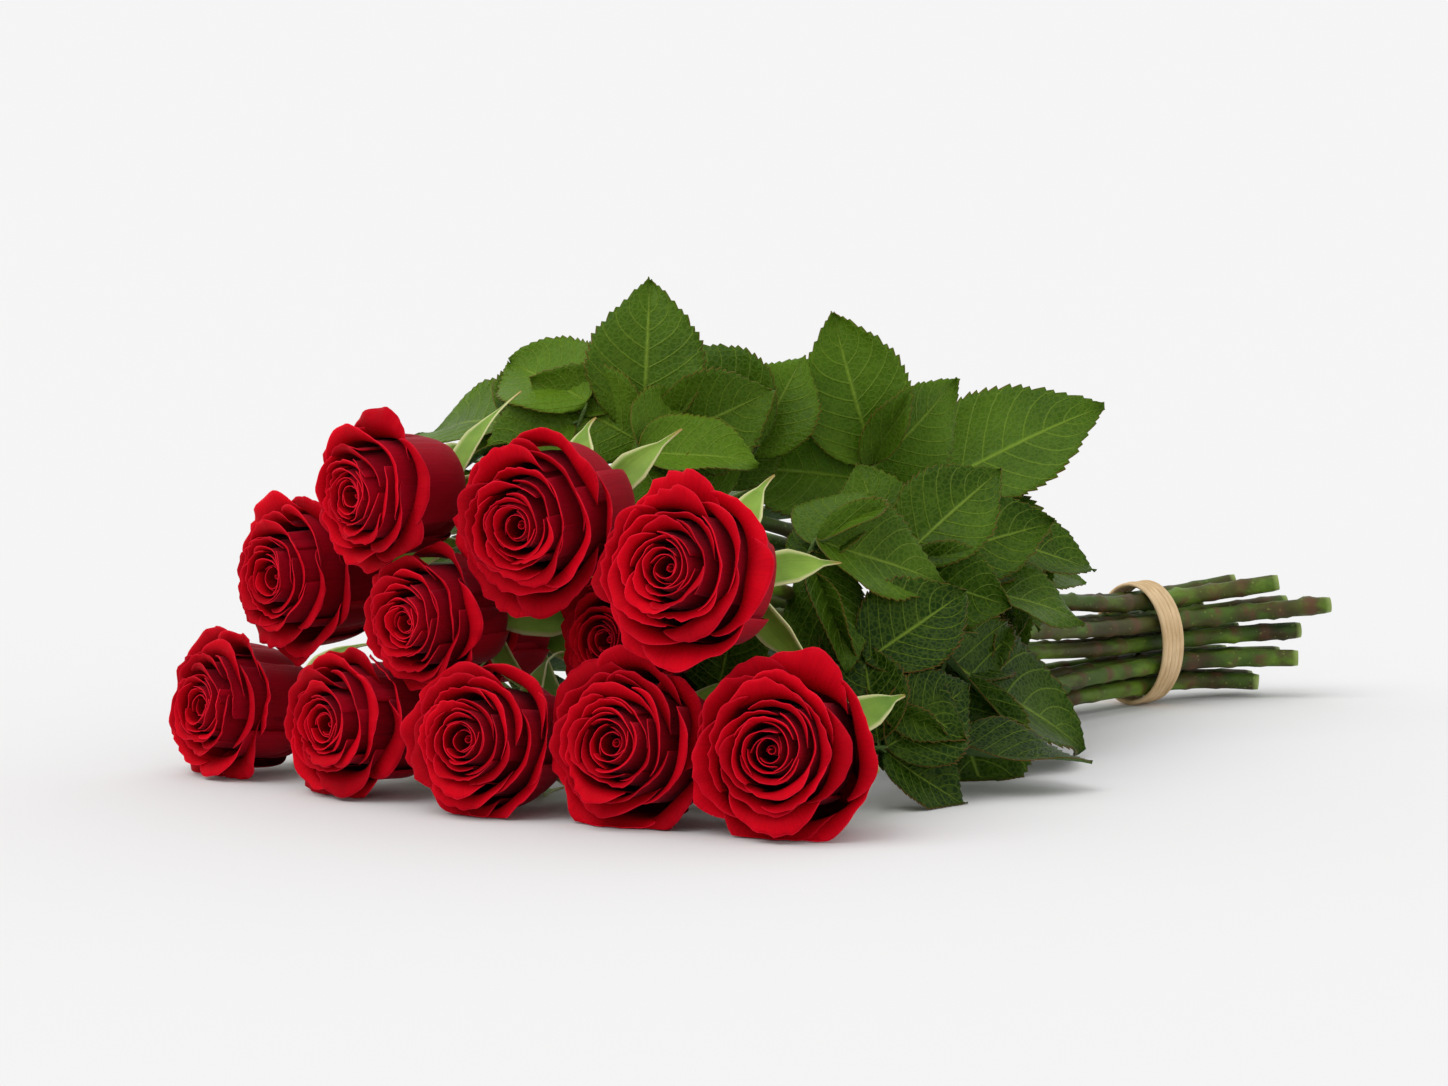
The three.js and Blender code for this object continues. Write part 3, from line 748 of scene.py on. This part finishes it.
def calyx(rose):
    """The hip of one rose and its sepals, as one piece."""
    rng = random.Random(200 + rose.number)
    turn = Vector((0, 1, 0)).rotation_difference(rose.axis)
    top = rose.base - rose.axis * GAP
    radius, neck = HIP_DIAMETER / 2, STEM_NECK / 2

    def hip_rule(u, v):
        out = between(v, (0, 0), (0.08, neck), (0.3, neck + 0.8), (0.55, radius * 0.95),
                      (0.75, radius), (0.9, radius * 0.8), (1, 0))
        angle = math.pi * u
        p = Vector((out * math.cos(angle), (v - 1) * HIP_LENGTH, out * math.sin(angle)))
        return place_mm(*(top + turn @ p))

    hip = closed_up(shaped_grid("hip", 20, 20, hip_rule))
    root = top - rose.axis * 0.22 * HIP_LENGTH
    sepals = []
    for i in range(SEPALS):
        around = math.radians(360 / SEPALS * i + 31 * (rose.number - 1))
        outwards = turn @ Vector((math.cos(around), 0, math.sin(around)))
        spread = math.radians(rng.uniform(98, 122))
        aim = outwards * math.sin(spread) + rose.axis * math.cos(spread)
        normal = (rose.axis - aim * rose.axis.dot(aim)).normalized()
        side = normal.cross(aim).normalized()
        length = rng.uniform(46, 58)
        bend = math.radians(rng.uniform(35, 95))
        twist = rng.uniform(-0.9, 0.9)
        foot = root + outwards * 0.4 * radius

        def rule(u, v):
            angle = bend * v
            centre = foot + aim * length * math.sin(angle) / bend
            centre += normal * length * (math.cos(angle) - 1) / bend
            up = normal * math.cos(angle) + aim * math.sin(angle)
            outline = between(v, (0, 0.6), (0.25, 0.95), (0.45, 1), (0.62, 0.6), (0.76, 0.2), (1, 0.04))
            half = SEPAL_WIDTH / 2 * outline
            across = side * math.cos(twist * v) + up * math.sin(twist * v)
            p = centre + across * u * half + up * half * 0.35 * u * u
            p.z = max(p.z, 0.5)
            return place_mm(*p)

        sepals.append(shaped_grid("sepal", 6, 24, rule))
    star = joined("sepals", sepals)
    thickened(star, SEPAL_WALL, 0)
    apply_all(star)
    piece = joined("sepals_%02d" % rose.number, [star, hip])
    bpy.ops.object.shade_smooth()
    finish_piece(piece, "calyx_%02d" % rose.number, "calyx", CALYX)


for rose in roses:
    calyx(rose)

# %% [markdown]
# A cut rose stem is a green and brown rod with a slight swelling at each node, small scars
# where the thorns were stripped, and a pale square cut. It is one tube from hip to cut.

# %% Stems
STEM_STEPS = 150
CAP_STEPS = 2  # rows that close the tube at each end
THORN_SCARS = 22
CLOSE_NODES = 90  # from this far before the band the nodes stand closer together


def stem(rose):
    """One stem, with a node every few centimetres and a closed tube at both ends."""
    rng = random.Random(300 + rose.number)
    nodes = []
    at = rng.uniform(30, 60)
    while at < rose.length - 8:
        nodes.append((at, rng.uniform(0, PHASE)))
        at += rng.uniform(13, 24) if at > rose.main_length - CLOSE_NODES else rng.uniform(30, 55)
    scars = [(rng.uniform(20, rose.length - 5), rng.uniform(0, PHASE)) for _ in range(THORN_SCARS)]
    rows = STEM_STEPS + 2 * CAP_STEPS

    def relief(distance, angle):
        """The swelling of the nodes, and the knobs of buds and thorn scars."""
        swell = sum(math.exp(-((distance - n) / 2.6) ** 2) for n, _ in nodes)
        knob = 0
        for n, a in nodes:
            turn = math.cos(angle - a)
            knob += math.exp(-((distance - n) / 2.2) ** 2) * max(turn, 0) ** 6
        for n, a in scars:
            turn = math.cos(angle - a)
            knob += 1.1 * math.exp(-((distance - n) / 1.5) ** 2) * max(turn, 0) ** 12
        return swell, knob

    def rule(u, v):
        inner = (v * rows - CAP_STEPS) / STEM_STEPS
        share = min(max(inner, 0), 1)
        distance = rose.length * share
        centre = rose.stem_point(distance)
        after = rose.stem_point(min(distance + 1, rose.length))
        ahead = (after - rose.stem_point(max(distance - 1, 0))).normalized()
        side = ahead.cross(Vector((0, 0, 1))).normalized()
        up = side.cross(ahead)
        angle = math.pi * u
        swell, knob = relief(distance, angle)
        radius = rose.stem_radius(distance) * (0.95 + 0.11 * swell) + knob
        radius *= 1 - 0.12 * math.exp((distance - rose.length) / 1.2)
        if inner < -0.5 / STEM_STEPS or inner > 1 + 0.5 / STEM_STEPS:
            capped = abs(v - 0.5) > 0.4999
            radius *= 0 if capped else 0.7
        p = centre + side * radius * math.cos(angle) + up * radius * math.sin(angle)
        p.z = max(p.z, 0.3)
        return place_mm(*p)

    piece = closed_up(shaped_grid("bark_%02d" % rose.number, 16, rows, rule))
    end = rose.stem_point(rose.length)
    rings = [(rose.stem_point(n), rose.stem_radius(n)) for n, _ in nodes]
    scar, cut = [], []
    for vertex in piece.data.vertices:
        p = (vertex.co - ORIGIN) / MM
        cut.append(1.0 if (p - end).length < STEM_END * 0.42 else 0.0)
        near = [math.exp(-((p - middle).length - radius) ** 2) for middle, radius in rings]
        scar.append(max(near, default=0.0))
    put_values(piece, "scar", scar)
    put_values(piece, "cut", cut)
    apply_all(piece)
    finish_piece(piece, "stem_%02d" % rose.number, "stem", STEM)


for rose in roses:
    stem(rose)

# %% [markdown]
# A rose leaf is compound: a thin stalk carries an end leaflet and one or two pairs of side
# leaflets. Every leaflet is one grid. Its outline is an oval that comes to a point, cut
# into teeth that lean forward, and its veins lie a little below the blade.

# %% The leaves, as they grow from the stems
# rose, share of its stem, the way the stalk reaches and its length, the way the end leaflet
# points and faces, its length, how many leaflets, and how far they curl in degrees
LEAVES = (
    (10, 0.12, (0.02, 0.52, 0.86), 30, (0.08, -0.02, 1), (-0.75, -0.65, 0.1), 64, 3, 12),
    (9, 0.11, (0.1, -0.41, 0.91), 38, (0, 0.91, 0.41), (-0.6, -0.5, 0.6), 56, 5, 18),
    (10, 0.38, (0.26, -0.53, 0.8), 38, (-0.2, 0.25, 0.95), (-0.75, -0.65, 0.05), 66, 3, 10),
    (9, 0.62, (0.27, -0.04, 0.96), 40, (0.56, -0.69, 0.45), (-0.5, -0.5, 0.7), 84, 3, 12),
    (9, 0.3, (0.06, -0.73, 0.68), 46, (-0.33, 0.48, 0.81), (-0.7, -0.62, 0.2), 58, 5, 16),
    (8, 0.56, (0.15, 0.05, 0.99), 36, (0.7, -0.71, -0.09), (-0.3, -0.35, 0.85), 56, 5, 20),
    (5, 0.35, (0.14, -0.35, 0.93), 30, (0.82, -0.33, -0.46), (-0.5, -0.45, 0.7), 82, 3, 8),
    (5, 0.23, (0.32, -0.81, -0.06), 16, (0.49, -0.87, -0.05), (-0.1, -0.2, 1), 64, 1, 4),
    (9, 0.08, (0.22, 0.55, 0.81), 28, (0, 0.99, 0.15), (-0.5, -0.3, 0.8), 60, 5, 16),
    (6, 0.2, (0.1, 0.6, 0.75), 54, (0.3, 0.9, 0.2), (-0.2, -0.2, 0.9), 66, 5, 24),
    (6, 0.46, (0.2, 0.5, 0.8), 48, (0.6, 0.75, 0.1), (0, 0.1, 1), 62, 5, 18),
    (1, 0.25, (0.1, 0.9, 0.35), 46, (0.4, 0.9, -0.12), (0, 0.1, 1), 62, 5, 10),
    (1, 0.5, (0.2, 0.8, 0.5), 42, (0.7, 0.7, -0.1), (0, 0.2, 1), 60, 5, 12),
    (8, 0.3, (0.19, -0.5, 0.75), 24, (0.5, -0.42, 0.6), (-0.7, -0.5, 0.4), 56, 5, 16),
    (5, 0.1, (0.14, -0.1, 0.98), 32, (0.7, -0.36, 0.53), (-0.6, -0.6, 0.5), 52, 5, 14),
    (8, 0.47, (0.05, -0.3, 0.85), 16, (0.65, -0.75, -0.14), (-0.4, -0.4, 0.8), 62, 5, 16),
    (5, 0.08, (0.22, -0.72, 0.1), 15, (0.86, -0.2, 0.4), (-0.4, -0.8, 0.4), 48, 3, 8),
    (8, 0.11, (0.16, -0.4, 0.9), 22, (0.8, -0.5, -0.3), (-0.6, -0.5, 0.6), 58, 5, 16),
    (9, 0.7, (0.09, -0.72, 0.68), 18, (0.87, -0.47, -0.18), (-0.2, -0.4, 0.9), 48, 3, 14),
    (11, 0.42, (0.1, -0.3, 0.9), 34, (0.6, -0.6, 0.3), (-0.6, -0.5, 0.6), 60, 5, 18),
    (4, 0.05, (-0.1, -0.1, 1), 16, (-0.1, -0.35, 0.93), (-0.8, -0.6, 0.1), 44, 5, 8),
    (4, 0.5, (0.11, -0.51, 0.85), 36, (0.86, -0.43, -0.28), (-0.3, -0.4, 0.9), 54, 5, 12),
    (10, 0.07, (-0.03, 0.09, 1), 18, (0.65, -0.76, 0), (-0.5, -0.5, 0.7), 48, 5, 14),
)

# %% One leaflet
TEETH = 19
ROWS = TEETH * 4
BLADE_WALL = 0.4


def leaflet_rule(base, aim, face, length, width, fold, curl, rng):
    """The rule for one leaflet, with teeth, a folded blade and soft waves between veins."""
    normal = (face - aim * face.dot(aim)).normalized()
    side = aim.cross(normal).normalized()
    bend = max(math.radians(curl), 0.01)
    sway = rng.uniform(-0.16, 0.16)
    wave = [rng.uniform(0, PHASE) for _ in range(4)]
    ripple = rng.uniform(0.5, 1.2)

    def rule(u, v):
        tooth = (v * TEETH) % 1.0
        outline = math.sin(math.pi * v ** 0.8) ** (0.6 + 0.5 * v) if 0 < v < 1 else 0.015
        cut = 1 - 0.075 * (1 - tooth) * min(v * 8, 1) - 0.012
        lean = 0.018 * tooth * abs(u) ** 6
        place = min(v + lean * (1 if v < 0.97 else 0), 1.0)
        angle = bend * place
        centre = base + aim * length * math.sin(angle) / bend
        centre += normal * length * (math.cos(angle) - 1) / bend
        centre += side * sway * length * 0.3 * place * place
        up = normal * math.cos(angle) + aim * math.sin(angle)
        half = width / 2 * outline * (1 + (cut - 1) * abs(u) ** 3)
        rise = fold * half * abs(u) ** 1.4
        rise += ripple * 0.045 * width * math.sin(8.5 * v + wave[0] + (1.5 if u > 0 else 0)) * u * u
        veins = math.cos(2 * math.pi * SIDE_VEINS * (v - 0.31 * abs(u) ** 1.25))
        rise -= 0.35 * veins * math.sin(math.pi * min(abs(u) * 1.1, 1)) * outline
        rise -= 0.9 * math.exp(-(u / 0.07) ** 2) * outline
        rise += 0.02 * width * math.sin(5 * v + 2 * u + wave[1])
        p = centre + side * u * half + up * rise
        p.z = above_floor(p.z)
        return place_mm(*p)

    return rule


# %% A leaf's stalk
def bar(name, start, end, radius):
    """A round rod, closed at both ends."""
    ahead = (end - start).normalized()
    side = ahead.orthogonal().normalized()
    up = side.cross(ahead)

    def rule(u, v):
        angle = math.pi * u
        out = radius * (0 if v in (0.0, 1.0) else 1)
        p = start.lerp(end, v) + side * out * math.cos(angle) + up * out * math.sin(angle)
        return place_mm(*p)

    return closed_up(shaped_grid(name, 8, 10, rule))


# %% Build the leaves
SPLAY = math.radians(64)
PAIR_PLACES = (0.78, 0.32)
SIDE_SIZE = 0.88  # each pair's length over the one before
STALK_RADIUS, TWIG_RADIUS = 0.85, 0.6
# Painted light by height: leaflets low down get painted shade, and leaflets high up get painted light
SHADED_LEAF_HEIGHT, LIT_LEAF_HEIGHT = 30, 180  # leaflets are darkest and palest at these heights


def leaf(number, rose_number, at, reach, stalk, aim, face, size, leaflets, curl):
    """One compound leaf: its stalk, the end leaflet and the pairs, as one piece."""
    rng = random.Random(400 + number)
    rose = roses[rose_number - 1]
    way = Vector(reach).normalized()
    ahead = Vector(aim).normalized()
    upper = Vector(face).normalized()
    upright = (upper - ahead * upper.dot(ahead)).normalized()
    distance = at * rose.main_length
    start = rose.stem_point(distance) + way * (rose.stem_radius(distance) + 2 * GAP)
    end = start + way * stalk
    sheets = []

    def add_leaflet(base, direction, length, loose):
        width = length * rng.uniform(0.74, 0.84)
        tilt = direction.cross(upper) * rng.uniform(-0.3, 0.3)
        tilt += Vector([rng.uniform(-0.28, 0.28) for _ in range(3)])
        rule = leaflet_rule(base, direction, (upper + tilt * loose).normalized(), length, width,
                            rng.uniform(0.14, 0.4), curl * rng.uniform(0.8, 2.2), rng)
        sheet = shaped_grid("leaflet", 12, ROWS, rule)
        # A leaflet's tone is its height, for painted shade low down and painted light higher up, spread
        # a little at random
        height = (base.z - SHADED_LEAF_HEIGHT) / (LIT_LEAF_HEIGHT - SHADED_LEAF_HEIGHT)
        tone = min(max(height + rng.uniform(-0.22, 0.22), 0), 1)
        put_values(sheet, "tone", [tone] * len(sheet.data.vertices))
        sheets.append(sheet)

    add_leaflet(end, ahead, size * 1.04, 0.4)
    stalks = [bar("stalk", start - way * 1.2, end + way * 0.6, STALK_RADIUS)]
    for pair in range((leaflets - 1) // 2):
        foot = start + way * stalk * PAIR_PLACES[pair]
        length = size * SIDE_SIZE ** (pair + 1)
        for hand in (-1, 1):
            turned = ahead * math.cos(SPLAY) + upright.cross(ahead) * math.sin(SPLAY) * hand
            stalks.append(bar("stalk", foot, foot + turned * 3.5, TWIG_RADIUS))
            add_leaflet(foot + turned * 2.5, turned, length, 1.6)
    blade = joined("blade", sheets)
    blade.data.materials.append(LEAF_TOP)
    blade.data.materials.append(LEAF_UNDER)
    thickened(blade, BLADE_WALL, -1).material_offset = 1
    apply_all(blade)
    twigs = joined("twigs", stalks)
    # The stalks take the middle level of the painted shade by height
    put_values(twigs, "tone", [0.5] * len(twigs.data.vertices))
    twigs.data.materials.append(LEAF_UNDER)
    piece = joined("leaf_blade_%02d" % number, [blade, twigs])
    bpy.ops.object.shade_smooth()
    finish_piece(piece, "leaf_%02d" % number, "leaf")
    return piece


for index, spec in enumerate(LEAVES):
    piece = leaf(index + 1, *spec)
print("leaves", len(LEAVES), "faces of the last", len(piece.data.polygons))

# %% [markdown]
# The band is a long rubber loop wound round the stems several times. Each turn is a soft
# flattened tube, and the turns lie side by side.

# %% Tie band
TURNS = 5
BAND_WIDTH = (band_high.x - band_low.x) / MM
BAND_HALF_HEIGHT = (band_high.z - band_low.z) / 2 / MM
BAND_HALF_WIDTH = (band_high.y - band_low.y) / 2 / MM


def band_turn(number):
    """One turn of the band: a flattened tube round the stems."""
    rng = random.Random(500 + number)
    pitch = BAND_WIDTH / TURNS
    offset = (number - (TURNS - 1) / 2) * pitch
    wave = [rng.uniform(0, PHASE) for _ in range(2)]
    half = BAND_THICKNESS / 2

    def rule(u, v):
        around = 2 * math.pi * v
        turn = math.pi * u
        drift = 0.5 * math.sin(around + wave[0]) + 0.3 * math.sin(2 * around + wave[1])
        thick = half * (0.95 + 0.12 * math.sin(3 * around + wave[1]))
        out = thick * math.cos(turn) - half * 0.12
        x = offset + drift * 0.7 + pitch * 0.5 * math.sin(turn)
        y = (BAND_HALF_WIDTH - half + out) * math.cos(around)
        z = BAND_MIDDLE + (BAND_HALF_HEIGHT - half + out) * math.sin(around)
        return place_mm(x, y, z)

    return closed_up(shaped_grid("turn", 12, 96, rule))


band = joined("band_turns", [band_turn(i) for i in range(TURNS)])
apply_all(band)
finish_piece(band, "tie_band", "band", BAND)
